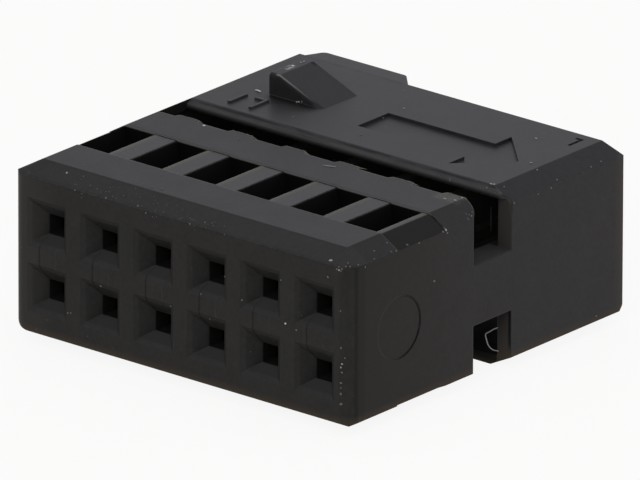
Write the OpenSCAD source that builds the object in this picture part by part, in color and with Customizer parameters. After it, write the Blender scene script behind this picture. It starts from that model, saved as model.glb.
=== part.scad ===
// Dual-row receptacle housing for crimped wire contacts, moulded in one piece, shown without contacts.
// The mating face looks towards -Y, the wires leave towards +Y, and the lock ramp is on top.
// All sizes are in millimetres.

/* [Contact grid] */
// Distance between neighbouring columns
pitch = 2.00; // [1.80:0.05:2.60]
// Distance between the two rows
row_gap = 2.00; // [1.90:0.05:2.40]
// Contacts in each row
columns = 6; // [5:1:10]

/* [Body] */
// Wall between an outer chamber and the side face
end_wall = 0.50; // [0.40:0.05:0.90]
// From a row's centre to the broad face nearest to it
row_cover = 1.75; // [1.55:0.05:2.20]
// Front block, from the mating face to the slot
front_len = 5.56; // [5.00:0.02:7.00]
// Slot across both broad faces, between the two blocks
slot_len = 1.70; // [1.20:0.02:2.40]
// Wall that closes the slot at the left side
slot_stop = 0.63; // [0.40:0.01:0.80]
// Rear block, from the slot to the wire end
rear_len = 5.16; // [4.90:0.02:7.00]
// Bevel round the upper broad face, measured across the face
bevel_w = 0.63; // [0.30:0.01:0.70]
// Bevel round the underside, measured across the face
lower_bevel_w = 0.75; // [0.40:0.01:0.80]
// Both bevels, measured down the side
bevel_h = 0.37; // [0.20:0.01:0.45]
// Upper bevel at the wire end, measured along the housing
rear_bevel = 0.27; // [0.10:0.01:0.40]
// Upper bevel at the wire end, measured down the end face
rear_bevel_h = 0.45; // [0.20:0.01:0.60]
// Lower bevel at the wire end, measured along the housing
rear_foot = 0.50; // [0.20:0.02:0.60]
// Lower bevel at the wire end, measured up the end face
rear_foot_h = 0.62; // [0.20:0.02:0.70]
// Radius of the upright corners at the mating face
corner_r = 0.40; // [0.10:0.05:0.60]
// Radius of the upright corners at the wire end
rear_corner_r = 0.10; // [0.05:0.05:0.40]
// Radius of the lower left edge at the mating end
foot_r = 0.58; // [0.30:0.02:0.70]
// Length of that rounded edge
foot_len = 1.50; // [0.80:0.05:1.60]

/* [Pin entries] */
// Square mouth of the lead-in
entry_w = 1.31; // [1.10:0.01:1.40]
// Bevel round the mouth, measured across the face
rim_w = 0.09; // [0.03:0.01:0.12]
// Depth of that bevel
rim_depth = 0.07; // [0.03:0.01:0.10]
// Square pin hole behind the lead-in
hole_w = 0.61; // [0.54:0.01:0.75]
// Drop of the pin hole below the centre of its mouth
hole_drop = 0.12; // [0.00:0.01:0.15]
// Depth of the lead-in
entry_depth = 0.48; // [0.25:0.01:0.60]
// Length of the pin hole
throat_len = 0.60; // [0.30:0.05:1.00]
// Depth of the tool mark that joins the two holes of a column
mark_depth = 0.02; // [0.01:0.01:0.05]

/* [Terminal cavities] */
// Width of the channel for the contact's box
channel_w = 0.90; // [0.85:0.01:1.10]
// Half height of that channel
channel_half = 0.45; // [0.43:0.01:0.55]
// Rib between neighbouring chambers of the rear block
chamber_wall = 0.40; // [0.30:0.05:0.70]
// Wall between the chambers and the broad face
cover_wall = 0.34; // [0.30:0.02:0.60]
// Open height between the ribs and that wall
rib_gap = 0.40; // [0.20:0.05:0.60]
// Chamber and slot floor, below the row's centre
floor_drop = 0.08; // [0.02:0.01:0.30]

/* [Windows] */
// Width of a window
window_w = 1.20; // [0.90:0.05:1.40]
// Length of a window
window_len = 2.17; // [1.50:0.01:2.80]
// From the mating face to the windows
window_start = 2.15; // [1.70:0.05:2.60]
// Sideways offset of a window from its column
window_shift = -0.14; // [-0.20:0.02:0.20]
// Depth of the shallow band that the windows lie in
band_depth = 0.03; // [0.02:0.01:0.10]

/* [Slot edge] */
// Reach of the front block's edge over the slot
eave_len = 0.22; // [0.10:0.02:0.40]
// Further reach of the tabs on that edge
tab_len = 0.15; // [0.06:0.01:0.25]
// Width of a tab
tab_w = 0.90; // [0.60:0.05:1.20]
// Run of a tab's sloping side
tab_slope = 0.08; // [0.02:0.01:0.15]
// Sideways offset of a tab from its column
tab_shift = 0.37; // [-0.20:0.01:0.40]
// Thickness of that edge
eave_h = 0.38; // [0.30:0.02:0.55]
// Radius of that edge at both ends, in plan
eave_end_r = 0.55; // [0.40:0.05:0.80]
// Reach of the rear block's bevelled brow over the slot
brow_len = 0.21; // [0.10:0.01:0.35]
// Thickness of the brow
brow_h = 0.28; // [0.24:0.02:0.32]

/* [Lock ramp] */
// From the side face to the steep end
ramp_inset = 2.17; // [1.60:0.01:2.60]
// Length from the steep end to the foot
ramp_len = 2.02; // [1.50:0.02:2.60]
// Width along the housing
ramp_w = 1.65; // [1.00:0.05:2.00]
// Height over the broad face
ramp_h = 0.67; // [0.40:0.01:0.90]
// Flat land at the top
ramp_land = 0.36; // [0.10:0.01:0.60]
// Chamfer along the land and the slope
ramp_edge = 0.08; // [0.03:0.01:0.15]
// From the ramp to the wire end
ramp_back = 1.85; // [1.70:0.05:2.20]

/* [Grip] */
// From the side face to the grip on the wire end's upper edge
grip_inset = 0.83; // [0.60:0.01:1.40]
// Length across the housing, at its root
grip_len = 3.89; // [3.00:0.01:5.00]
// Reach beyond the wire end
grip_reach = 0.30; // [0.15:0.01:0.50]
// From the left end of its root to the centre of its rounded corner
grip_left = 0.41; // [0.20:0.01:0.70]
// From the right end of its root to the centre of its rounded corner
grip_right = 0.63; // [0.20:0.01:0.80]
// Radius of its corners
grip_r = 0.22; // [0.05:0.01:0.30]
// Thickness
grip_t = 0.28; // [0.20:0.01:0.30]

/* [Arrow] */
// From the ramp's foot to the arrow's tail
arrow_gap = 1.61; // [1.00:0.01:2.40]
// From the arrow's tip to the side face
arrow_tip = 1.37; // [1.10:0.01:2.00]
// Width of the shaft
arrow_shaft = 1.40; // [1.00:0.05:1.70]
// Width of the head
arrow_head_w = 2.88; // [2.20:0.02:3.00]
// Length of the head
arrow_head_len = 1.44; // [1.00:0.02:1.80]
// From the arrow's centre line to the wire end
arrow_back = 3.17; // [2.90:0.01:3.30]
// Depth of the pocket
arrow_depth = 0.10; // [0.05:0.01:0.14]

/* [Numbers] */
// From the side face to the raised number
number_inset = 1.50; // [1.20:0.05:2.00]
// From the slot to the raised number
number_start = 0.36; // [0.25:0.01:0.42]
// Height of a figure
figure_h = 0.80; // [0.60:0.02:0.85]
// Width of a figure
figure_w = 0.46; // [0.36:0.02:0.60]
// Gap between figures
figure_gap = 0.16; // [0.10:0.02:0.30]
// Width of a stroke
stroke_w = 0.11; // [0.08:0.01:0.16]
// Height of the raised strokes
stroke_h = 0.06; // [0.03:0.01:0.10]
// Length of the engraved first-contact mark
first_len = 0.65; // [0.50:0.05:1.00]
// From the first-contact mark to the wire end
first_back = 0.57; // [0.40:0.01:0.70]
// Sideways offset of the first-contact mark from its column
first_shift = 0.20; // [-0.20:0.05:0.30]
// Depth of the first-contact mark
first_depth = 0.05; // [0.03:0.01:0.10]

/* [Ejector marks] */
// Radius of the round mark on each side face
ejector_r = 0.95; // [0.60:0.05:1.20]
// From the mating face to its centre
ejector_start = 2.23; // [1.60:0.01:3.00]
// Depth of the mark
ejector_depth = 0.02; // [0.01:0.01:0.05]

/* [Hidden] */
$fn = 48;
chamber_w = pitch - chamber_wall;
end_margin = end_wall + chamber_w / 2;
body_w = (columns - 1) * pitch + 2 * end_margin;
body_h = row_gap + 2 * row_cover;
body_len = front_len + slot_len + rear_len;
// Heights are counted from the plane half way between the rows
row_z = row_gap / 2;
top_z = body_h / 2;
floor_z = row_z - floor_drop;
side_x = body_w / 2;
front_y = -(body_len + grip_reach) / 2;
slot_y = front_y + front_len;
rear_y = slot_y + slot_len;
end_y = front_y + body_len;
first_x = -side_x + end_margin;
last_x = side_x - end_margin;
ceiling_z = top_z - cover_wall;
channel_start = entry_depth + throat_len;
eave_reach = eave_len + tab_len;
brow_drop = brow_len * bevel_h / bevel_w;
ramp_x = -side_x + ramp_inset;
ramp_y = end_y - ramp_back - ramp_w;
arrow_tail_x = ramp_x + ramp_len + arrow_gap;
arrow_tip_x = side_x - arrow_tip;
arrow_neck_x = arrow_tip_x - arrow_head_len;
// Run of a cutter past the face it opens
past = 1;
// Depth to which an added form is rooted, and the run of a cutter that widens outwards
root = 0.10;

function column_x(i) = first_x + i * pitch;

module along_y(y, length) {
    translate([0, y + length, 0])
        rotate([90, 0, 0])
            linear_extrude(length)
                children();
}

module along_x(x, length) {
    translate([x, 0, 0])
        rotate([90, 0, 90])
            linear_extrude(length)
                children();
}

// Applies a form to the upper row and, mirrored, to the lower row
module both_rows() {
    children();
    mirror([0, 0, 1])
        children();
}

// Applies a form to both rows, the same way up
module each_row() {
    for (z = [-row_z, row_z])
        translate([0, 0, z])
            children();
}

// Section across the housing, with the side bevels carried on past the side faces
module cross_section(half_h) {
    far_z = half_h - 2 * bevel_h;
    polygon([
        [-side_x - lower_bevel_w, -far_z],
        [-side_x + lower_bevel_w, -half_h],
        [side_x - lower_bevel_w, -half_h],
        [side_x + lower_bevel_w, -far_z],
        [side_x + bevel_w, far_z],
        [side_x - bevel_w, half_h],
        [-side_x + bevel_w, half_h],
        [-side_x - bevel_w, far_z]
    ]);
}

// Section along the housing, with the front bevels carried on past the mating face
module long_section() {
    far_z = top_z - 2 * bevel_h;
    polygon([
        [front_y - lower_bevel_w, -far_z],
        [front_y + lower_bevel_w, -top_z],
        [end_y - rear_foot, -top_z],
        [end_y, rear_foot_h - top_z],
        [end_y, top_z - rear_bevel_h],
        [end_y - rear_bevel, top_z],
        [front_y + bevel_w, top_z],
        [front_y - bevel_w, far_z]
    ]);
}

// Plan of one end of the housing, from y = 0 towards +Y, with rounded corners
module end_plan(r, length) {
    translate([-side_x + r, 0])
        square([body_w - 2 * r, length]);
    translate([-side_x, r])
        square([body_w, length - r]);
    for (x = [-1, 1])
        translate([x * (side_x - r), r])
            circle(r = r);
}

module plan() {
    translate([0, front_y])
        end_plan(corner_r, front_len + slot_len);
    translate([0, end_y])
        mirror([0, 1])
            end_plan(rear_corner_r, rear_len + slot_len);
}

module block() {
    intersection() {
        translate([0, 0, -top_z - past])
            linear_extrude(body_h + 2 * past)
                plan();
        along_y(front_y - past, body_len + 2 * past)
            cross_section(top_z);
        along_x(-side_x - past, body_w + 2 * past)
            long_section();
    }
}

// What the rounded lower left edge takes off the block
module foot_cut() {
    foot_z = bevel_h - top_z;
    along_y(front_y - past, past + foot_len)
        difference() {
            polygon([
                [-side_x - past, foot_z + foot_r],
                [-side_x + foot_r, foot_z + foot_r],
                [-side_x + foot_r, foot_z],
                [-side_x + lower_bevel_w, -top_z],
                [-side_x + lower_bevel_w, -top_z - past],
                [-side_x - past, -top_z - past]
            ]);
            translate([-side_x + foot_r, foot_z + foot_r])
                circle(r = foot_r);
        }
}

// Square lead-in with a bevelled rim, which narrows and leans down to the pin hole
module lead_in() {
    slope = (entry_w - hole_w) / 2 / entry_depth;
    rim_half = entry_w / 2 - slope * rim_depth;
    spread = (rim_w + slope * rim_depth) / rim_depth;
    // Depth, half width and drop of each section
    sections = [
        [-root, rim_half + spread * (rim_depth + root), 0],
        [rim_depth, rim_half, hole_drop * rim_depth / entry_depth],
        [entry_depth, hole_w / 2, hole_drop]
    ];
    last = len(sections) - 1;
    back = [for (k = [last : -1 : 0]) sections[k]];
    intersection() {
        translate([0, 0, -entry_w])
            linear_extrude(2 * entry_w)
                polygon(concat(
                    [for (s = sections) [s[1], s[0]]],
                    [for (s = back) [-s[1], s[0]]]
                ));
        along_x(-entry_w, 2 * entry_w)
            polygon(concat(
                [for (s = sections) [s[0], s[1] - s[2]]],
                [for (s = back) [s[0], -s[1] - s[2]]]
            ));
    }
}

// Lead-in and pin hole of one contact
module pin_entry() {
    lead_in();
    translate([-hole_w / 2, 0, -hole_drop - hole_w / 2])
        cube([hole_w, channel_start + channel_half, hole_w]);
}

// Tool mark between the two pin holes of a column, over the face and both lead-ins
module tool_mark() {
    intersection() {
        translate([-hole_w / 2, -past, -row_z])
            cube([hole_w, past + entry_depth, row_gap]);
        union() {
            translate([-entry_w, -past, -row_z])
                cube([2 * entry_w, past + mark_depth, row_gap]);
            each_row()
                translate([0, mark_depth, 0])
                    lead_in();
        }
    }
}

// Room for one contact, from the pin hole to the wire end, with its window
module cavity() {
    translate([0, front_y, row_z]) {
        translate([-channel_w / 2, channel_start, -channel_half])
            cube([channel_w, body_len - channel_start + past, 2 * channel_half]);
        translate([window_shift - window_w / 2, window_start, 0])
            cube([window_w, window_len, row_cover + past]);
    }
    translate([-chamber_w / 2, rear_y - slot_len / 2, floor_z])
        cube([chamber_w, rear_len + slot_len / 2 + past, ceiling_z - floor_z]);
}

// Open space over the ribs of a row, from the slot to the wire end
module rib_space() {
    translate([first_x - chamber_w / 2, rear_y - slot_len / 2, ceiling_z - rib_gap])
        cube([last_x - first_x + chamber_w, rear_len + slot_len / 2 + past, rib_gap]);
}

// Shallow bands across both broad faces and their bevels, as long as the windows
module window_bands() {
    band_y = front_y + window_start;
    difference() {
        translate([-side_x - past, band_y, -top_z - past])
            cube([body_w + 2 * past, window_len, body_h + 2 * past]);
        along_y(band_y - past, window_len + 2 * past)
            cross_section(top_z - band_depth);
    }
}

// Plan of an edge that reaches over the slot, from y = 0 towards +Y, with rounded ends
module edge_plan(reach) {
    translate([-side_x - past, -past])
        square([body_w + 2 * past, past]);
    translate([-side_x + eave_end_r, -past])
        square([body_w - 2 * eave_end_r, past + reach]);
    for (x = [-1, 1])
        translate([x * (side_x - eave_end_r), reach - eave_end_r])
            circle(r = eave_end_r);
}

// Front block's edge, with its tabs
module eave_plan() {
    intersection() {
        translate([0, slot_y])
            edge_plan(eave_reach);
        union() {
            translate([-side_x - past, slot_y - past])
                square([body_w + 2 * past, past + eave_len]);
            for (i = [0 : columns - 1])
                translate([column_x(i) + tab_shift, slot_y])
                    polygon([
                        [-tab_w / 2, -past],
                        [tab_w / 2, -past],
                        [tab_w / 2, eave_len],
                        [tab_w / 2 - tab_slope, eave_reach],
                        [-tab_w / 2 + tab_slope, eave_reach],
                        [-tab_w / 2, eave_len]
                    ]);
            translate([last_x + tab_shift, slot_y - past])
                square([end_margin + past, past + eave_reach]);
        }
    }
}

// Slot across a broad face, open at the right side
module slot() {
    translate([-side_x + slot_stop, slot_y, floor_z])
        cube([body_w - slot_stop + past, slot_len, top_z - floor_z + past]);
}

// Rear block's edge, bevelled at the slope of the other bevels
module brow() {
    intersection() {
        translate([0, rear_y, top_z - brow_h])
            linear_extrude(brow_h)
                mirror([0, 1])
                    edge_plan(brow_len);
        along_x(-side_x - past, body_w + 2 * past)
            polygon([
                [rear_y - brow_len, top_z - brow_h - past],
                [rear_y - brow_len, top_z - brow_drop],
                [rear_y, top_z],
                [rear_y + past, top_z],
                [rear_y + past, top_z - brow_h - past]
            ]);
    }
}

// Upper slot, with the edges of both blocks left standing over it
module eaved_slot() {
    difference() {
        slot();
        translate([0, 0, top_z - eave_h])
            linear_extrude(eave_h + 2 * past)
                eave_plan();
        brow();
    }
}

module arrow_pocket() {
    translate([0, end_y - arrow_back, top_z - arrow_depth])
        linear_extrude(arrow_depth + past)
            polygon([
                [arrow_tail_x, -arrow_shaft / 2],
                [arrow_neck_x, -arrow_shaft / 2],
                [arrow_neck_x, -arrow_head_w / 2],
                [arrow_tip_x, 0],
                [arrow_neck_x, arrow_head_w / 2],
                [arrow_neck_x, arrow_shaft / 2],
                [arrow_tail_x, arrow_shaft / 2]
            ]);
}

// Engraved stroke with a short flag over the first contact
module first_mark() {
    translate([last_x + first_shift, end_y - first_back - first_len, top_z - first_depth])
        linear_extrude(first_depth + past) {
            translate([-stroke_w / 2, 0])
                square([stroke_w, first_len]);
            translate([-2 * stroke_w, first_len - stroke_w])
                square([2 * stroke_w, stroke_w]);
        }
}

module ejector_marks() {
    for (x = [-1, 1])
        translate([x * (side_x - ejector_depth), front_y + ejector_start, 0])
            rotate([0, x * 90, 0])
                cylinder(r = ejector_r, h = ejector_depth + past);
}

// Cutter for a chamfer along +X from the origin, on an edge with its solid towards +Y and -Z
module chamfer(length) {
    along_x(-past, length + 2 * past)
        polygon([
            [-past, -ramp_edge - past],
            [-past, past],
            [ramp_edge + past, past]
        ]);
}

module ramp_chamfers() {
    run = ramp_len - ramp_land;
    translate([ramp_x, -ramp_w / 2, top_z + ramp_h])
        chamfer(ramp_land);
    translate([ramp_x + ramp_land, -ramp_w / 2, top_z + ramp_h])
        rotate([0, atan(ramp_h / run), 0])
            chamfer(norm([run, ramp_h]));
}

module ramp() {
    difference() {
        along_y(ramp_y, ramp_w)
            polygon([
                [ramp_x, top_z - root],
                [ramp_x, top_z + ramp_h],
                [ramp_x + ramp_land, top_z + ramp_h],
                [ramp_x + ramp_len, top_z],
                [ramp_x + ramp_len, top_z - root]
            ]);
        translate([0, ramp_y + ramp_w / 2, 0]) {
            ramp_chamfers();
            mirror([0, 1, 0])
                ramp_chamfers();
        }
    }
}

// Flat grip that carries the upper broad face on beyond the wire end
module grip() {
    corner_y = rear_bevel + grip_reach - grip_r;
    translate([-side_x + grip_inset, end_y - rear_bevel, top_z - grip_t])
        linear_extrude(grip_t)
            hull() {
                translate([0, -root])
                    square([grip_len, root]);
                for (x = [grip_left, grip_len - grip_right])
                    translate([x, corner_y])
                        circle(r = grip_r);
            }
}

// Plain raised figures one and seven
module number() {
    translate([-side_x + number_inset, rear_y + number_start, top_z - root])
        linear_extrude(root + stroke_h) {
            translate([(figure_w - stroke_w) / 2, 0])
                square([stroke_w, figure_h]);
            translate([figure_w + figure_gap, 0]) {
                translate([0, figure_h - stroke_w])
                    square([figure_w, stroke_w]);
                translate([figure_w - stroke_w, 0])
                    square([stroke_w, figure_h]);
            }
        }
}

module housing() {
    color([0.05, 0.05, 0.055])
        translate([0, 0, top_z]) {
            difference() {
                block();
                foot_cut();
                window_bands();
                eaved_slot();
                mirror([0, 0, 1])
                    slot();
                both_rows() {
                    rib_space();
                    for (i = [0 : columns - 1])
                        translate([column_x(i), 0, 0])
                            cavity();
                }
                for (i = [0 : columns - 1])
                    translate([column_x(i), front_y, 0]) {
                        tool_mark();
                        each_row()
                            pin_entry();
                    }
                arrow_pocket();
                first_mark();
                ejector_marks();
            }
            ramp();
            grip();
            number();
        }
}

housing();
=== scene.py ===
"""Looks of the connector housing: camera, floor, light, black plastic, and the dust and flash on it."""
import math
import random

import bmesh
import bpy
from mathutils import Matrix, Vector, noise
from mathutils.bvhtree import BVHTree


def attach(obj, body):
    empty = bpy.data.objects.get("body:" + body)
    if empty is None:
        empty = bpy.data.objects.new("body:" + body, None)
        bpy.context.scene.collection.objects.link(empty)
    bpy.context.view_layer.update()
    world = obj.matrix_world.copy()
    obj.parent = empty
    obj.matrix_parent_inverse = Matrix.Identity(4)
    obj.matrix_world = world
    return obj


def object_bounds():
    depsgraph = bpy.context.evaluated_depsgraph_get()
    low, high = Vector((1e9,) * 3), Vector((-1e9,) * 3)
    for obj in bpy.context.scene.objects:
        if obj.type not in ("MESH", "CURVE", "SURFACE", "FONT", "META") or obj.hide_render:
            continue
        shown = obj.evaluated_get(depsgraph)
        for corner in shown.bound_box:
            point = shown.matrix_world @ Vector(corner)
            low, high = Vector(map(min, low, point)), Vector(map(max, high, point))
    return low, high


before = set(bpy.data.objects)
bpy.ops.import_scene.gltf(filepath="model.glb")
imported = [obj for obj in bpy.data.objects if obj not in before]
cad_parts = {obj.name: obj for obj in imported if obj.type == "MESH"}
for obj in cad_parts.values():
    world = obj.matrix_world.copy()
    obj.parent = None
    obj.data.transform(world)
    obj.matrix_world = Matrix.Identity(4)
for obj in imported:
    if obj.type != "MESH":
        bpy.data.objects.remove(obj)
cad_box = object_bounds()
scene = bpy.context.scene
scene.view_settings.view_transform = "Standard"
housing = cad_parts["housing"]
MM = 0.001

# Places on the housing are in millimetres: x from its middle, z from its underside, and y from the mating
# face, which is the CAD box's first face along Y
FRONT = cad_box[0][1]
COLUMN = 2.0               # from one column of contacts to the next
BAND = (2.15, 4.32)        # window band along y
FIRST_EDGE = -6.54         # right edge, along x, of a window one column left of the first
SLOT_Y = 5.58              # start of the slots along y
SIDE_X = (6.2, 6.25)       # where a mask rises along x to the right side face
EJECTOR = (2.23, 2.75)     # centre of the ejector mark along y and z

# Camera: yaw, pitch and roll in degrees, focal length in pixels of the image, sensor width in millimetres,
# and the aim point in millimetres, first on the housing and then in camera space
IMAGE = (640, 480)
YAW, PITCH, ROLL = (math.radians(angle) for angle in (39.702, 20.458, 0.155))
FOCAL = 22096.0
SENSOR = 36.0
AIM = Vector((0, FRONT / MM + 6.0, 2.75))
OFFSET = Vector((-0.169, -0.071, 636.488))

ahead = Vector((-math.sin(YAW) * math.cos(PITCH), math.cos(YAW) * math.cos(PITCH), -math.sin(PITCH)))
level = Vector((math.cos(YAW), math.sin(YAW), 0))
plumb = level.cross(ahead)
right = math.cos(ROLL) * level + math.sin(ROLL) * plumb
up = math.cos(ROLL) * plumb - math.sin(ROLL) * level
eye = (AIM - OFFSET.x * right - OFFSET.y * up - OFFSET.z * ahead) * MM

camera = bpy.data.objects.new("camera", bpy.data.cameras.new("camera"))
scene.collection.objects.link(camera)
camera.matrix_world = Matrix.Translation(eye) @ Matrix((right, up, -ahead)).transposed().to_4x4()
camera.data.sensor_fit = "HORIZONTAL"
camera.data.sensor_width = SENSOR
camera.data.lens = FOCAL / IMAGE[0] * SENSOR
camera.data.clip_start = 0.05
camera.data.clip_end = 20.0
scene.camera = camera


def grey(value):
    """Neutral colour."""
    return (value, value, value)


class Tree:
    """Small helper that adds shader nodes and links them by name."""

    def __init__(self, owner):
        owner.use_nodes = True
        self.tree = owner.node_tree
        self.tree.nodes.clear()

    def join(self, socket, source):
        """Links a socket, or sets its value."""
        if isinstance(source, bpy.types.NodeSocket):
            self.tree.links.new(source, socket)
        else:
            socket.default_value = source

    def add(self, kind, links=None, **values):
        """New node with its properties set and its inputs joined."""
        node = self.tree.nodes.new(kind)
        for key, value in values.items():
            setattr(node, key, value)
        for socket, source in (links or {}).items():
            self.join(node.inputs[socket], source)
        return node

    def math(self, operation, a, b=0.0):
        """Result of a sum on numbers."""
        return self.add("ShaderNodeMath", {0: a, 1: b}, operation=operation).outputs[0]

    def vector(self, operation, a, b=(0, 0, 0)):
        """Outputs of a sum on vectors."""
        return self.add("ShaderNodeVectorMath", {0: a, 1: b}, operation=operation).outputs

    def product(self, *factors):
        """All factors multiplied."""
        total = factors[0]
        for factor in factors[1:]:
            total = self.math("MULTIPLY", total, factor)
        return total

    def highest(self, *masks):
        """The largest of some masks at each place."""
        total = masks[0]
        for mask in masks[1:]:
            total = self.math("MAXIMUM", total, mask)
        return total

    def outside(self, mask):
        """Where a mask isn't."""
        return self.math("SUBTRACT", 1.0, mask)

    def ramp(self, value, low, high):
        """0 at low and 1 at high, clamped; high may be the smaller one."""
        limits = {"Value": value, "From Min": low, "From Max": high}
        return self.add("ShaderNodeMapRange", limits).outputs[0]

    def span(self, value, low, high, soft):
        """1 between low and high, falling to 0 over soft on each side."""
        return self.math("MULTIPLY", self.ramp(value, low - soft, low), self.ramp(value, high + soft, high))

    def noise(self, where, scale, detail=3.0):
        """Cloudy pattern from 0 to 1."""
        values = {"Vector": where, "Scale": scale, "Detail": detail}
        return self.add("ShaderNodeTexNoise", values).outputs["Fac"]

    def mix(self, factor, a, b):
        """Blend of two colours, each an output or three numbers."""
        node = self.add("ShaderNodeMix", data_type="RGBA")
        self.join(node.inputs[0], factor)
        for socket, source in ((node.inputs[6], a), (node.inputs[7], b)):
            self.join(socket, (*source, 1.0) if isinstance(source, tuple) else source)
        return node.outputs[2]

    def mix_vector(self, factor, a, b):
        """Blend of two vectors."""
        return self.add("ShaderNodeMix", {0: factor, 4: a, 5: b}, data_type="VECTOR").outputs[1]


class Plastic(Tree):
    """Node tree of the housing's plastic, with what its zones are made from."""

    def __init__(self, owner):
        super().__init__(owner)
        # Place on the housing, and the face's own normal
        metres = self.add("ShaderNodeTexCoord").outputs["Object"]
        from_front = self.vector("SUBTRACT", metres, (0, FRONT, 0))[0]
        self.place = self.vector("MULTIPLY", from_front, (1 / MM,) * 3)[0]
        self.face = self.add("ShaderNodeNewGeometry").outputs["Normal"]
        self.x, self.y, self.z = self.add("ShaderNodeSeparateXYZ", {0: self.place}).outputs
        self.nx, self.ny, self.nz = self.add("ShaderNodeSeparateXYZ", {0: self.face}).outputs

        # Fine grain of the mould, slow and mid mottle, and streaks along x
        self.grain = self.noise(self.place, 24.0)
        self.mottle = self.noise(self.place, 1.4, 4.0)
        self.patchy = self.noise(self.place, 7.0, 4.0)
        self.streaky = self.noise(self.vector("MULTIPLY", self.place, (1.2, 9.0, 9.0))[0], 1.0, 4.0)
        self.fine_edge = self.rounded(0.06)

        # Zones that more than one function needs: faces that look up, the window band, the windows' walls,
        # the chambers and slots, and the walls behind the slots, with the low one under the lower slot
        self.flat = self.zone(nz=(0.8, 0.9))
        self.along_band = self.zone(y=(*BAND, 0.01))
        self.band = self.product(self.along_band, self.zone(nz=(0.29, 0.3)))
        self.inside = self.zone(x=(-5.9, 5.9, 0.01), y=(2.13, 4.34, 0.01), z=(4.4, 5.42, 0.01),
                                nz=(0.5, 0.3))
        tall = self.zone(z=(0.33, 5.16, 0.01))
        chambers = self.product(tall, self.zone(x=(-6.2, 6.2, 0.01), y=(7.3, 12.3, 0.03)))
        slots = self.product(tall, self.zone(x=(-6.2, 5.0, 0.01), y=(SLOT_Y, 7.3, 0.01)))
        self.rooms = self.highest(chambers, slots)
        self.behind = self.zone(y=(7.15, 7.3, 0.02), ny=(-0.5, -0.9))
        self.low_wall = self.product(self.behind, self.zone(x=(5.8, 5.75), z=(0.36, 0.33)))

    def zone(self, **limits):
        """Mask by place, x, y and z, and normal, nx, ny and nz: two limits are a ramp's, three a span's."""
        masks = []
        for axis, values in limits.items():
            shape = self.ramp if len(values) == 2 else self.span
            masks.append(shape(getattr(self, axis), *values))
        return self.product(*masks)

    def rounded(self, radius):
        """Normal of the surface with its edges rounded to a radius in millimetres."""
        return self.add("ShaderNodeBevel", {"Radius": radius * MM}, samples=8).outputs[0]


def rounded_normal(t):
    """Normal with round edges: softer at the mating face's long edges and the brow, sharp at the arrow."""
    at_brow = t.zone(y=(6.96, 7.31, 0.02), z=(4.7, 4.9))
    between = t.zone(z=(0.9, 4.7, 0.1))
    at_front = t.product(t.zone(y=(0.51, 0.41)), t.outside(between))
    at_arrow = t.zone(x=(-1.6, 5.4, 0.05), y=(7.6, 11.9, 0.05))
    edges = t.mix_vector(t.highest(at_front, at_brow), t.fine_edge, t.rounded(0.17))
    return t.vector("NORMALIZE", t.mix_vector(at_arrow, edges, t.face))[0]


def corner_mask(t):
    """Outer edges: the rounded normal leans away from the face's own, and the air around is open."""
    lean = t.vector("DOT_PRODUCT", t.fine_edge, t.face)["Value"]
    airy = t.add("ShaderNodeAmbientOcclusion", {"Distance": 0.2 * MM}, samples=6).outputs["AO"]
    return t.product(t.ramp(lean, 0.995, 0.82), t.ramp(airy, 0.7, 0.95))


def speck_mask(t):
    """Small pale specks in one cell of ten."""
    cells = t.add("ShaderNodeTexVoronoi", {"Vector": t.place, "Scale": 5.2, "Randomness": 1.0})
    pick = t.add("ShaderNodeSeparateColor", {0: cells.outputs["Color"]})
    rare = t.math("GREATER_THAN", pick.outputs[0], 0.9)
    return t.product(t.ramp(cells.outputs["Distance"], 0.16, 0.08), rare, pick.outputs[1])


def hollow_shade_mask(t):
    """Painted shade in the hollows: windows, pin holes, chambers, slots, and the mouths' rims that face
    down or left.

    The low wall behind the lower slot and, in part, the window band's end facets are as dark.
    """
    holes = t.zone(x=(-6.1, 6.1, 0.01), y=(0.5, 2.1, 0.02), z=(0.6, 4.9, 0.01))
    averted = t.highest(t.zone(nz=(-0.2, -0.4)), t.zone(nx=(-0.2, -0.4)))
    rims = t.product(averted, t.zone(x=(-6.0, 6.0, 0.01), y=(0.1, 0.09), z=(0.8, 4.8, 0.05)), 0.6)
    slot_end = t.zone(x=(-5.0, -5.5), y=(SLOT_Y, 7.2, 0.02), nx=(0.5, 0.8))
    low_wall = t.product(t.low_wall, t.zone(z=(0.0, 0.2)), 0.9)
    facet = t.product(t.along_band, t.zone(nx=(0.3, 0.45), nz=(0.7, 0.8)), 0.2)
    return t.highest(t.inside, holes, t.rooms, rims, slot_end, low_wall, facet)


# Layers of colour over the base: each function gives rows of mask, strength and colour for one area
def top_layers(t):
    """Bevels along the right side, and the top's strips before and behind the windows."""
    flank = t.zone(nx=(0.2, 0.45), nz=(0.5, 0.8))
    strip = t.product(t.flat, t.zone(y=(6.0, 5.8), z=(5.45, 5.48)))
    return ((flank, 0.25, grey(0.004)),
            (strip, 0.3, grey(0.002)))


def window_layers(t):
    """Window band, a painted highlight on the right edge of each window, and the pale step at the band's
    rear end.
    """
    past_edge = t.math("MODULO", t.math("SUBTRACT", t.x, FIRST_EDGE), COLUMN)
    # Painted highlight: a pale cream line on the bar's edge at the right of each window
    painted_edge_highlight = t.product(t.ramp(past_edge, 0.2, 0.1), t.along_band, t.flat)
    riser = t.zone(y=(4.3, 4.37, 0.01), z=(5.43, 5.45), ny=(-0.5, -0.8))
    return ((t.band, 1.0, (0.0042, 0.004, 0.004)),
            (painted_edge_highlight, 0.55, (0.045, 0.042, 0.016)),
            (riser, 1.0, (0.13, 0.128, 0.128)))


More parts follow.
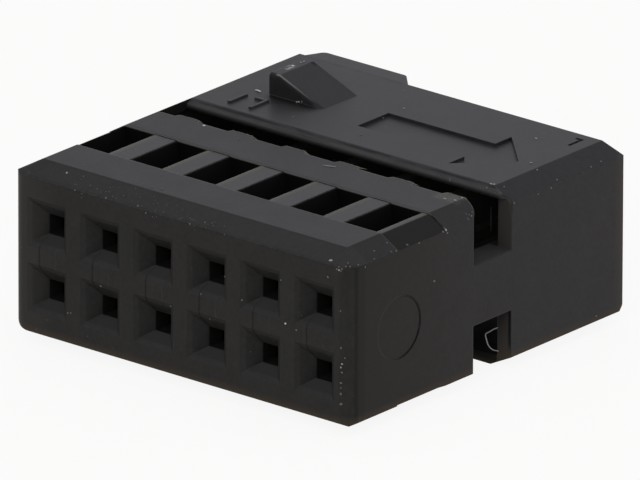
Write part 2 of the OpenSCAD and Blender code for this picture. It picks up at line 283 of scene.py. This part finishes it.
def ramp_layers(t):
    """Lock ramp: its smooth front, a painted highlight and a dull part on its chamfer, a smudge, and a
    painted shadow on the top before it.
    """
    smooth = t.zone(z=(5.5, 5.54), ny=(-0.6, -0.9))
    chamfer = t.zone(z=(5.56, 5.6), nz=(0.45, 0.85, 0.05))
    # Painted highlight along the ramp's front chamfer
    painted_edge_highlight = t.product(chamfer, t.zone(x=(-2.4, -3.8), y=(8.965, 9.03, 0.01)), t.zone(x=(-3.94, -3.86)))
    dull = t.product(chamfer, t.zone(y=(8.90, 8.955, 0.01)))
    smudge = t.product(t.zone(x=(-3.78, -3.62, 0.05), y=(10.36, 10.6, 0.05), z=(5.9, 6.0)),
                       t.ramp(t.patchy, 0.3, 0.5))
    # Painted contact shadow on the top in front of the ramp
    foot = t.product(t.flat, t.zone(x=(-4.0, -2.5, 0.3), y=(8.81, 8.93, 0.5), z=(5.53, 5.51)))
    return ((smooth, 0.35, grey(0.004)),
            (painted_edge_highlight, 1.0, (0.15, 0.147, 0.14)),
            (dull, 0.7, grey(0.004)),
            (smudge, 0.9, (0.003, 0.003, 0.002)),
            (foot, 0.85, grey(0.004)))


def brow_layers(t):
    """Rear block's edge over the slot: its bevel, paler downwards, its nose with painted light, pale at its
    top and dark below, and streaks on its ridge.
    """
    brow = t.zone(y=(7.03, 7.255, 0.01), z=(5.3, 5.34), nz=(0.6, 0.95, 0.05))
    dusty = t.product(t.zone(z=(5.48, 5.40)), t.ramp(t.streaky, 0.8, 0.4))
    # Painted light on the brow's nose: pale at its top, dark below
    painted_nose_light = t.zone(y=(7.01, 7.07, 0.02), z=(5.1, 5.2), ny=(-0.3, -0.7))
    ridge = t.product(t.zone(y=(7.18, 7.27, 0.02), z=(5.40, 5.45)), t.ramp(t.streaky, 0.44, 0.56))
    return ((brow, 1.0, t.mix(dusty, (0.023, 0.023, 0.024), (0.050, 0.0495, 0.050))),
            (painted_nose_light, 1.0, t.mix(t.zone(z=(5.20, 5.36)), grey(0.004), (0.052, 0.051, 0.051))),
            (ridge, 0.8, grey(0.006)))


def outer_layers(t):
    """Side face with painted shade, darker towards its front bend, front bevel, painted highlights on the
    left and rear edges, and the grip's root.
    """
    side = t.zone(x=SIDE_X, nx=(0.9, 0.98))
    # Painted shade: the side face darker towards its front
    painted_side_shade = t.product(side, t.zone(y=(5.5, 0.5)))
    # Painted shade on the side face beside the rounded front corner
    bend = t.product(side, t.zone(y=(0.73, 0.66)))
    fore = t.zone(y=(0.85, 0.8), z=(5.05, 5.1), nz=(0.75, 0.92, 0.05))
    # Painted highlight: a paler strip where the rounded left front edge catches light
    left = t.zone(x=(-4.6, -6.2), y=(0.51, 0.31), nz=(0.3, 0.1))
    # Painted warm highlight along the side face's rounded rear edge
    rear = t.zone(x=SIDE_X, y=(11.95, 12.4))
    root = t.product(t.flat, t.zone(x=(-5.4, -1.7, 0.1), y=(12.06, 12.14, 0.03)),
                     t.ramp(t.patchy, 0.35, 0.6))
    return ((painted_side_shade, 0.5, grey(0.006)),
            (bend, 0.4, grey(0.004)),
            (fore, 0.2, (0.040, 0.039, 0.038)),
            (left, 0.7, (0.036, 0.035, 0.034)),
            (rear, 0.8, (0.050, 0.044, 0.038)),
            (root, 0.5, (0.012, 0.011, 0.004)))


def entry_layers(t):
    """Painted light on the leads of the pin entries that face up, paler towards the hole."""
    # Painted light: the upward leads paler, paler still near the hole
    painted_lead_light = t.zone(y=(0.52, 0.49), z=(5.0, 4.9), nz=(0.3, 0.9))
    return ((painted_lead_light, 1.0, t.mix(t.zone(y=(0.1, 0.45)), (0.034, 0.033, 0.033), (0.046, 0.045, 0.045))),)


def slot_layers(t):
    """Slots at their open side: painted light on the wall ends and the upper floor, a dark seam beside the
    lower one, and painted shade on the low wall with a painted warm reflection of the floor at its foot.
    """
    # Painted light on the wall ends at the slots' open side
    painted_lit_wall_end = t.product(t.behind, t.zone(x=(5.78, 6.27, 0.05)))
    seam = t.product(t.behind, t.zone(x=(6.18, 6.22), z=(0.8, 1.85, 0.3)))
    # Painted light on the upper slot's floor
    painted_lit_sill = t.product(t.flat, t.zone(x=(5.0, 5.1), y=(SLOT_Y, 7.25, 0.01), z=(3.6, 3.7, 0.01)))
    # Painted shade on the low wall behind the lower slot, turning to a painted warm reflection of the floor
    # at its foot
    painted_low_wall_shading = t.mix(t.zone(z=(0.25, 0.05)), (0.006, 0.007, 0.004), (0.026, 0.020, 0.010))
    return ((painted_lit_wall_end, 1.0, (0.042, 0.039, 0.036)),
            (seam, 0.9, (0.003, 0.003, 0.004)),
            (painted_lit_sill, 1.0, (0.038, 0.037, 0.037)),
            (t.low_wall, 1.0, painted_low_wall_shading))


def wear_and_light_layers(t):
    """Painted warm reflection of the floor along the lowest edge, pale edges that are partly wear and
    partly painted highlight, specks, a darker ring in the ejector mark, a scuff on the last tab, and
    painted highlights on the eave's edge and the ramp's land.
    """
    at_slot = t.zone(x=(5.85, 5.75), y=(6.9, 7.3, 0.01))
    # Painted warm reflection of the floor along the lowest edges, except at the slot
    low = t.product(t.zone(z=(0.62, 0.40), nz=(-0.8, 0.2, 0.15)), t.outside(at_slot))
    corner = corner_mask(t)
    middle = t.zone(x=(-5.4, 5.4, 0.05), y=(7.6, 11.9, 0.05))
    # Pale edges: partly wear, partly a painted highlight where rounded edges catch light
    wear_and_highlight_edge = t.product(corner, t.zone(z=(5.1, 5.56, 0.03)), t.ramp(t.patchy, 0.3, 0.65), t.outside(middle))
    reach = t.vector("MULTIPLY", t.vector("SUBTRACT", t.place, (0, *EJECTOR))[0], (0, 1, 1))[0]
    ring = t.span(t.vector("LENGTH", reach)["Value"], 0.91, 0.96, 0.02)
    # A darker, patchy ring in the ejector mark's groove
    dark_ring = t.product(ring, t.zone(y=(2.1, 2.5), nx=(0.5, 0.8)), t.ramp(t.patchy, 0.3, 0.5))
    last_tab = t.product(t.zone(x=(4.95, 5.65, 0.15), y=(5.46, 6.01, 0.15), nz=(0.59, 0.6)),
                         t.ramp(t.patchy, 0.2, 0.7))
    # Painted highlight along the eave's edge over the slot
    painted_eave_highlight = t.product(corner, t.zone(y=(5.75, 5.97, 0.03), z=(5.29, 5.3)))
    # Painted highlight on the ramp's land
    painted_land_highlight = t.product(t.zone(x=(-4.06, -3.9, 0.05), y=(9.51, 9.81, 0.1), z=(6.09, 6.1)),
                          t.ramp(t.patchy, 0.42, 0.6))
    return ((low, 0.65, (0.050, 0.036, 0.022)),
            (wear_and_highlight_edge, 0.6, (0.10, 0.098, 0.085)),
            (speck_mask(t), 0.4, (0.16, 0.155, 0.15)),
            (dark_ring, 1.0, grey(0.002)),
            (last_tab, 0.7, (0.075, 0.075, 0.062)),
            (painted_eave_highlight, 0.8, (0.13, 0.13, 0.11)),
            (painted_land_highlight, 1.0, (0.30, 0.29, 0.27)))


LAYERS = (top_layers, window_layers, ramp_layers, brow_layers, outer_layers, entry_layers, slot_layers,
          wear_and_light_layers)


def plastic_material():
    """Black plastic: spark-eroded faces, a smoother band at the windows, edges partly worn and partly
    painted highlight, a few scuffs, and painted light and shade over its colour.
    """
    material = bpy.data.materials.new("black_plastic")
    t = Plastic(material)
    # Base colour: darker near the mating face, with the layers over it
    tone = t.math("ADD", t.math("MULTIPLY", t.mottle, 0.4), t.math("MULTIPLY", t.patchy, 0.6))
    front_tone = t.mix(tone, grey(0.0065), (0.0325, 0.0320, 0.0320))
    rear_tone = t.mix(tone, (0.013, 0.0125, 0.015), (0.041, 0.040, 0.043))
    base = t.mix(t.zone(y=(0.21, 12.21)), front_tone, rear_tone)
    for layers in LAYERS:
        for mask, strength, colour in layers(t):
            base = t.mix(t.math("MULTIPLY", mask, strength), base, colour)

    # Roughness: uneven, and lower on the window band and the grip
    grip = t.product(t.flat, t.zone(y=(12.13, 12.2)))
    rough = 0.30
    for pattern, share in ((t.mottle, 0.12), (t.patchy, 0.12), (t.band, -0.2), (grip, -0.04)):
        rough = t.math("ADD", rough, t.math("MULTIPLY", pattern, share))
    bump = t.add("ShaderNodeBump", {"Height": t.grain, "Strength": 0.35, "Distance": 0.006 * MM,
                                    "Normal": rounded_normal(t)})
    outer = t.add("ShaderNodeBsdfPrincipled",
                  {"Base Color": base, "Roughness": rough, "IOR": 1.2, "Normal": bump.outputs[0]})

    # Hollows: painted shade, a darker and duller shader, with tones of their own in the windows and in the
    # chambers and slots
    window_tone = t.mix(t.zone(ny=(-0.5, -0.9)), grey(0.008), grey(0.004))
    deep = t.mix(t.mottle, (0.009, 0.009, 0.0085), (0.014, 0.014, 0.013))
    deep = t.mix(t.inside, deep, window_tone)
    deep = t.mix(t.rooms, deep, (0.020, 0.0195, 0.0175))
    dark = t.add("ShaderNodeBsdfPrincipled",
                 {"Base Color": deep, "Roughness": 0.5, "IOR": 1.1, "Normal": bump.outputs[0]})
    whole = t.add("ShaderNodeMixShader", {0: hollow_shade_mask(t), 1: outer.outputs[0], 2: dark.outputs[0]})
    t.add("ShaderNodeOutputMaterial", {"Surface": whole.outputs[0]})
    return material


housing.data.materials.clear()
housing.data.materials.append(plastic_material())


# Dust and flash: small pieces on the housing, most of them where a pixel of the photograph meets it
shell = BVHTree.FromPolygons([housing.matrix_world @ v.co for v in housing.data.vertices],
                             [list(p.vertices) for p in housing.data.polygons])
rng = random.Random(7)
# Size of a pixel at the housing, and a height well over it, in metres
PIXEL = OFFSET.z / FOCAL * MM
OVERHEAD = 0.02
Y_AXIS, Z_AXIS = 1, 2


def pixel_ray(px, py):
    """Direction in which the camera looks through a pixel of the photograph."""
    return (ahead + right * ((px - IMAGE[0] / 2) / FOCAL) - up * ((py - IMAGE[1] / 2) / FOCAL)).normalized()


def lie(px, py):
    """Place and normal of the housing's surface at a pixel."""
    place, normal, _, _ = shell.ray_cast(eye, pixel_ray(px, py))
    return place, normal


def drop(x, y):
    """Place and normal of the housing's top at x and, from the mating face, y, in millimetres."""
    place, normal, _, _ = shell.ray_cast(Vector((x * MM, FRONT + y * MM, OVERHEAD)), Vector((0, 0, -1)))
    return place, normal


def on_plane(px, py, axis, value):
    """Where the ray through a pixel meets the plane on which one coordinate has a given value."""
    ray = pixel_ray(px, py)
    return eye + ray * ((value - eye[axis]) / ray[axis])


def finish_faces(faces, tone):
    """Gives faces their material and smooth shading."""
    for face in faces:
        face.material_index = tone
        face.smooth = True


def fleck(bm, place, normal, radius, tone, flat=0.5):
    """Lumpy speck that lies on a face, sunk a little into it; flat is its height over its radius."""
    turn = normal.to_track_quat("Z", "Y").to_matrix() @ Matrix.Rotation(rng.uniform(0, math.tau), 3, "Z")
    size = (radius * rng.uniform(0.9, 1.4), radius * rng.uniform(0.7, 1.0), radius * flat)
    seed = Vector((rng.uniform(0, 90), rng.uniform(0, 90), rng.uniform(0, 90)))
    made = bmesh.ops.create_icosphere(bm, subdivisions=2, radius=1.0)["verts"]
    for vert in made:
        lump = 1 + 0.5 * noise.noise(vert.co * 1.6 + seed)
        shape = Vector([c * s * lump for c, s in zip(vert.co, size)])
        vert.co = place + normal * (0.4 * size[2]) + turn @ shape
    finish_faces({face for vert in made for face in vert.link_faces}, tone)


def loft(bm, sections, tone=0):
    """Closed strip through a row of sections that have the same number of points."""
    rings = [[bm.verts.new(p) for p in section] for section in sections]
    count = len(rings[0])
    made = [bm.faces.new(rings[0][::-1]), bm.faces.new(rings[-1])]
    for a, b in zip(rings, rings[1:]):
        for i in range(count):
            j = (i + 1) % count
            made.append(bm.faces.new((a[i], a[j], b[j], b[i])))
    finish_faces(made, tone)


def smooth_path(points, steps):
    """Catmull-Rom points through a row of points."""
    ends = [2 * points[0] - points[1]] + points + [2 * points[-1] - points[-2]]
    path = []
    for a, b, c, d in zip(ends, ends[1:], ends[2:], ends[3:]):
        for k in range(steps):
            s = k / steps
            bend = (2 * a - 5 * b + 4 * c - d) * s ** 2 + (3 * b - a - 3 * c + d) * s ** 3
            path.append(0.5 * (2 * b + (c - a) * s + bend))
    return path + [points[-1]]


def strand(bm, points, normals, radius, tone=0, sides=6):
    """Thin tube along points, lying on the faces with the given normals, thinner at its ends."""
    turns = [math.tau * k / sides for k in range(sides)]
    sections = []
    for i, (point, normal) in enumerate(zip(points, normals)):
        along = (points[min(i + 1, len(points) - 1)] - points[max(i - 1, 0)]).normalized()
        across = normal.cross(along).normalized()
        s = min(max(i / (len(points) - 1), 0.04), 0.96)
        r = radius * (0.35 + 0.65 * math.sin(math.pi * s) ** 0.4)
        middle = point + normal * (0.8 * r)
        sections.append([middle + r * (math.cos(a) * across + math.sin(a) * normal) for a in turns])
    loft(bm, sections, tone)


def hair(bm, pixels, radius, tone=0, steps=8):
    """Strand along a row of pixels, laid on the surface that is seen there."""
    path = smooth_path([Vector((px, py, 0)) for px, py in pixels], steps)
    hits = [lie(p.x, p.y) for p in path]
    strand(bm, [h[0] for h in hits], [h[1] for h in hits], radius, tone)


def grey_material(name, dark, light):
    """Matt material that varies between two colours."""
    material = bpy.data.materials.new(name)
    t = Tree(material)
    where = t.add("ShaderNodeTexCoord").outputs["Object"]
    tint = t.mix(t.noise(where, 9000.0), dark, light)
    rough = t.math("ADD", 0.6, t.math("MULTIPLY", t.noise(where, 27000.0), 0.3))
    bump = t.add("ShaderNodeBump",
                 {"Height": t.noise(where, 36000.0), "Strength": 0.4, "Distance": 0.004 * MM})
    shader = t.add("ShaderNodeBsdfPrincipled",
                   {"Base Color": tint, "Roughness": rough, "IOR": 1.3, "Normal": bump.outputs[0]})
    t.add("ShaderNodeOutputMaterial", {"Surface": shader.outputs[0]})
    return material


def piece(name, bm, materials):
    """Piece from a bmesh, riding on the housing's body."""
    bmesh.ops.recalc_face_normals(bm, faces=bm.faces)
    mesh = bpy.data.meshes.new(name)
    bm.to_mesh(mesh)
    bm.free()
    for material in materials:
        mesh.materials.append(material)
    made = bpy.data.objects.new(name, mesh)
    scene.collection.objects.link(made)
    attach(made, "root")


DIM, MID, PALE = range(3)
DUST = [grey_material("dust_dim", (0.10, 0.10, 0.098), (0.18, 0.178, 0.172)),
        grey_material("dust_grey", (0.24, 0.238, 0.23), (0.36, 0.355, 0.34)),
        grey_material("dust_pale", (0.48, 0.47, 0.45), (0.66, 0.65, 0.62))]

# Specks: pixel, radius in pixels, and tone from dim, 0, to pale, 2
# Most specks are dust; the pale ones at pixels (293, 66), (491, 184) and (494, 184.5) are painted
# highlights on the ramp's land and at the right end of the brow
SPECKS = (
    (67, 173, 1.2, 1), (75, 190, 1.0, 0), (106, 198, 1.0, 0), (138, 206, 1.0, 0), (146, 213, 1.0, 0),
    (152, 187, 1.0, 0), (162, 189, 1.0, 0), (190, 224, 1.0, 0), (204, 125.8, 1.4, 2), (238, 139, 1.0, 0),
    (263, 99, 1.0, 0), (293, 66, 1.3, 2), (290, 68, 1.2, 1),
    (293, 117, 1.0, 0), (334, 160, 1.0, 0), (331, 260.5, 1.4, 1), (328, 277, 1.0, 0), (337, 269, 0.9, 0),
    (339, 270, 1.0, 1), (341, 271, 0.9, 0), (346, 266.5, 0.9, 0), (350, 266.5, 0.9, 0), (358, 265, 1.0, 0),
    (365, 267, 1.0, 0), (374, 251, 1.0, 0), (374, 259, 1.0, 0), (387, 243, 1.0, 0), (391, 252, 1.0, 0),
    (396, 251, 1.0, 0), (407, 245, 1.0, 0), (419, 243, 1.0, 0), (434, 281, 1.2, 0),
    (340.5, 311, 0.8, 0), (341, 348, 1.0, 0), (345, 358, 0.8, 0), (342, 364, 1.0, 1), (341, 367.5, 0.9, 1),
    (342, 372.5, 0.9, 0), (341, 383, 1.1, 0), (341, 388, 0.8, 0), (341, 394, 1.3, 0), (341, 404, 1.3, 0),
    (404, 108.5, 1.2, 1), (361, 135, 1.0, 0), (504, 187, 1.0, 0), (514, 203, 1.0, 0), (531, 163, 1.2, 1),
    (536, 138.5, 1.2, 1), (537, 170, 1.0, 0), (538, 194, 1.0, 0), (551, 188, 1.0, 0), (557, 180, 1.0, 0),
    (591, 167, 1.0, 0), (601, 161.5, 1.0, 0), (68, 313, 1.0, 0), (71, 313, 1.0, 0), (101, 286, 1.0, 0),
    (596, 316, 1.0, 0), (445, 199, 1.2, 1), (455, 200.5, 1.4, 1), (462, 198, 1.2, 1), (297, 102, 1.1, 1),
    (299, 102, 1.2, 1), (302, 102, 1.0, 0), (450, 181, 0.8, 0), (450, 179, 0.7, 0), (383, 118, 1.1, 0),
    (487, 188, 1.0, 0), (301, 62.5, 1.2, 1), (304, 61.5, 1.0, 1), (466, 214, 0.8, 0), (469, 215, 0.8, 0),
    (471.5, 216, 0.8, 1), (468, 219, 0.7, 0), (472, 212, 0.7, 0), (446, 230, 1.3, 1), (447, 233, 1.0, 0),
    (444, 228, 0.9, 0), (443, 232, 1.0, 0), (342, 269, 1.0, 0), (339, 267, 0.8, 0), (348, 263, 0.7, 0),
    (491, 184, 1.2, 1), (494, 184.5, 1.2, 1), (285.5, 323.5, 1.1, 2), (296.5, 330, 1.0, 0),
    (225, 276.5, 0.9, 0), (281, 280, 0.9, 0), (242, 300, 0.9, 0), (201, 294, 0.9, 0), (210, 319, 0.8, 0),
    (171, 306, 0.9, 0))
# Crumbs on the scuffed last tab: their number, and the ranges of x, y and radius in millimetres
CRUMBS, CRUMB_X, CRUMB_Y, CRUMB_R = 7, (4.95, 5.7), (5.43, 5.87), (0.010, 0.018)
# Fine dust along the front bevel, in pixels: the bevel's left end and its run to the right end, the part of
# the run that is dusty, the offset down from that line as mean and deviation, and the range of radius
FINE_SPECKS, BEVEL_END, BEVEL_RUN = 60, (45, 172), (290, 85)
DUSTY_PART, DUSTY_OFFSET, FINE_R = (0.1, 0.65), (3, 6), (0.3, 0.55)
# Scuff on the top's front strip, and a sliver beside the ramp, along rows of pixels
SCUFF = ((323, 165.5), (329, 166.4), (336, 167))
SLIVER = ((255.5, 90.3), (258, 91.2), (261, 92.3))

bm = bmesh.new()
for px, py, radius, tone in SPECKS:
    place, normal = lie(px, py)
    fleck(bm, place, normal, radius * PIXEL, tone)
for _ in range(CRUMBS):
    place, normal = drop(rng.uniform(*CRUMB_X), rng.uniform(*CRUMB_Y))
    fleck(bm, place, normal, rng.uniform(*CRUMB_R) * MM, rng.choice((DIM, DIM, MID)), flat=0.3)
for _ in range(FINE_SPECKS):
    s = rng.uniform(*DUSTY_PART)
    px = BEVEL_END[0] + BEVEL_RUN[0] * s
    py = BEVEL_END[1] + BEVEL_RUN[1] * s + rng.gauss(*DUSTY_OFFSET)
    place, normal = lie(px, py)
    fleck(bm, place, normal, rng.uniform(*FINE_R) * PIXEL, DIM, flat=0.4)
hair(bm, SCUFF, radius=0.013 * MM, tone=MID)
hair(bm, SLIVER, radius=0.024 * MM, tone=PALE)
piece("dust", bm, DUST)

# Curled fibre that hangs by both ends on the wall end in the lower slot
WALL_Y = FRONT + 7.26 * MM
FIBRE = ((498, 327.5), (494, 329), (490, 331.5), (486, 334), (487, 340), (489, 345.5), (493, 349.5),
         (498.5, 351))
bm = bmesh.new()
path = smooth_path([Vector((px, py, 0)) for px, py in FIBRE], steps=8)
path = [on_plane(p.x, p.y, Y_AXIS, WALL_Y) for p in path]
strand(bm, path, [Vector((0, -1, 0))] * len(path), radius=0.020 * MM, tone=PALE)
piece("fibre", bm, DUST)

# Thin strand that stands on the upper chamber's floor, in the open side of the slot
STRAND_FOOT, FLOOR_Z, STRAND_H, STRAND_STEPS = (491, 232), 3.66 * MM, 0.77 * MM, 8
STRAND_SIDE = Vector((0.6, -0.8, 0))
bm = bmesh.new()
foot = on_plane(*STRAND_FOOT, Z_AXIS, FLOOR_Z)
rise = [foot + Vector((0, 0, STRAND_H * k / STRAND_STEPS)) for k in range(STRAND_STEPS + 1)]
strand(bm, rise, [STRAND_SIDE] * len(rise), radius=0.026 * MM)
piece("strand", bm, [grey_material("strand_plastic", (0.030, 0.030, 0.030), (0.046, 0.046, 0.045))])

# Flash along the slot's edge: a ragged lip on each tab's tip, and a thin flake on from its right end
TAB_LEFT, TAB_LEN, TAB_TIP = -5.0, 0.74, 5.93
# Lip: steps along the tab, depth on it, and overhang and thickness as a mean and a ragged share
LIP_STEPS, LIP_DEEP, LIP_OUT, LIP_THICK = 18, 0.03 * MM, (0.012, 0.02), (0.016, 0.008)
# Flake: steps along it, half its width at the tab, at its end and as a ragged share, half its thickness,
# how far it lies below the tab's top, and the pixels where the flakes end
FLAKE_STEPS, FLAKE_WIDE, FLAKE_END, FLAKE_RAGGED = 8, 0.045, 0.004, 0.012
FLAKE_HALF, FLAKE_SINK = 0.008 * MM, 0.01 * MM
FLAKE_TIPS = ((203, 123), (257, 139), (311, 156), (367, 169), (419, 185.5))


def lip(bm, i, left):
    """Ragged lip along the tip of one tab, which starts at left."""
    sections = []
    for k in range(LIP_STEPS + 1):
        place, _ = drop(left + TAB_LEN * k / LIP_STEPS, TAB_TIP - 0.02)
        jag = noise.noise(Vector((left * 3 + k * 0.45, i, 0.5)))
        out = (LIP_OUT[0] + LIP_OUT[1] * jag) * MM
        thick = (LIP_THICK[0] + LIP_THICK[1] * jag) * MM
        tip = Vector((place.x, FRONT + TAB_TIP * MM, place.z))
        outline = ((-LIP_DEEP, thick * 0.4), (-LIP_DEEP, -thick), (out, -thick), (out, thick * 0.2))
        sections.append([tip + Vector((0, y, z)) for y, z in outline])
    loft(bm, sections)


def flake(bm, i, left):
    """Flake that narrows from the right end of the tab that starts at left to its own pixel."""
    root, _ = drop(left + TAB_LEN - 0.02, TAB_TIP - 0.04)
    run = on_plane(*FLAKE_TIPS[i], Z_AXIS, root.z) - root
    side = Vector((-run.y, run.x, 0)).normalized()
    half = Vector((0, 0, FLAKE_HALF))
    sections = []
    for k in range(FLAKE_STEPS + 1):
        s = k / FLAKE_STEPS
        jag = noise.noise(Vector((k * 0.7, i * 5.0, 2)))
        wide = (FLAKE_WIDE * (1 - s) ** 0.8 + FLAKE_END + FLAKE_RAGGED * jag) * MM
        middle = root + run * s - Vector((0, 0, FLAKE_SINK))
        sections.append([middle + side * wide, middle + half, middle - side * wide, middle - half])
    loft(bm, sections)


bm = bmesh.new()
for i in range(len(FLAKE_TIPS) + 1):
    left = TAB_LEFT + i * COLUMN
    lip(bm, i, left)
    if i < len(FLAKE_TIPS):
        flake(bm, i, left)
FLASH = grey_material("flash_plastic", (0.085, 0.085, 0.074), (0.14, 0.138, 0.122))
piece("flash", bm, [FLASH])


# Floor, light and world: seen or reflected rays meet a white surround, the light itself is plain
def seen_rays(t):
    """Mask of the rays that show the background: straight, reflected or let through."""
    path = t.add("ShaderNodeLightPath").outputs
    return t.highest(path["Is Camera Ray"], path["Is Glossy Ray"], path["Is Transmission Ray"])


def white_tone(t, reflected):
    """White, or another tone in reflections."""
    return t.mix(t.add("ShaderNodeLightPath").outputs["Is Glossy Ray"], (1, 1, 1), reflected)


def floor_material():
    """Matt pale floor that is mostly seen as white, and is clear from below."""
    material = bpy.data.materials.new("pale_floor")
    t = Tree(material)
    where = t.add("ShaderNodeTexCoord").outputs["Object"]
    matt = t.add("ShaderNodeBsdfDiffuse",
                 {"Color": t.mix(t.noise(where, 60.0), (0.85, 0.81, 0.755), (0.87, 0.83, 0.785))})
    glow = t.add("ShaderNodeEmission", {"Color": white_tone(t, (1.0, 0.95, 0.89)), "Strength": 1.0})
    share = t.math("MULTIPLY", seen_rays(t), 0.9)
    above = t.add("ShaderNodeMixShader", {0: share, 1: matt.outputs[0], 2: glow.outputs[0]})
    below = t.add("ShaderNodeNewGeometry").outputs["Backfacing"]
    clear = t.add("ShaderNodeBsdfTransparent")
    whole = t.add("ShaderNodeMixShader", {0: below, 1: above.outputs[0], 2: clear.outputs[0]})
    t.add("ShaderNodeOutputMaterial", {"Surface": whole.outputs[0]})
    return material


# The floor lies a hair under the housing
FLOOR_HALF, FLOOR_DROP = 2.0, 0.01 * MM
SIGNS = ((-1, -1), (1, -1), (1, 1), (-1, 1))
corners = [(sx * FLOOR_HALF, sy * FLOOR_HALF, -FLOOR_DROP) for sx, sy in SIGNS]
mesh = bpy.data.meshes.new("floor")
mesh.from_pydata(corners, [], [(0, 1, 2, 3)])
floor = bpy.data.objects.new("floor", mesh)
scene.collection.objects.link(floor)
floor.data.materials.append(floor_material())

# Lamps: places and sizes in metres, power in watts
LAMP_AIM = Vector((0, 0, 0.003))
COOL, WARM = (0.97, 0.98, 1.0), (1.0, 0.97, 0.93)


def softbox(name, place, size, power, colour):
    """Square lamp that looks at the housing."""
    lamp = bpy.data.lights.new(name, "AREA")
    lamp.shape = "SQUARE"
    lamp.size = size
    lamp.energy = power
    lamp.color = colour
    box = bpy.data.objects.new(name, lamp)
    scene.collection.objects.link(box)
    box.location = place
    box.rotation_euler = (LAMP_AIM - Vector(place)).to_track_quat("-Z", "Y").to_euler()
    box.visible_glossy = False


softbox("top_box", place=(0.0, 0.03, 0.30), size=0.30, power=0.20, colour=COOL)
softbox("front_box", place=(0.10, -0.21, 0.17), size=0.16, power=0.22, colour=WARM)
softbox("right_box", place=(0.08, 0.06, 0.02), size=0.05, power=0.010, colour=WARM)

world = bpy.data.worlds.new("studio")
scene.world = world
w = Tree(world)
light = w.add("ShaderNodeBackground", {"Color": (0.95, 0.97, 1.0, 1), "Strength": 0.5})
white = w.add("ShaderNodeBackground", {"Color": white_tone(w, (0.95, 0.94, 1.0)), "Strength": 1.0})
sky = w.add("ShaderNodeMixShader", {0: seen_rays(w), 1: light.outputs[0], 2: white.outputs[0]})
w.add("ShaderNodeOutputWorld", {"Surface": sky.outputs[0]})
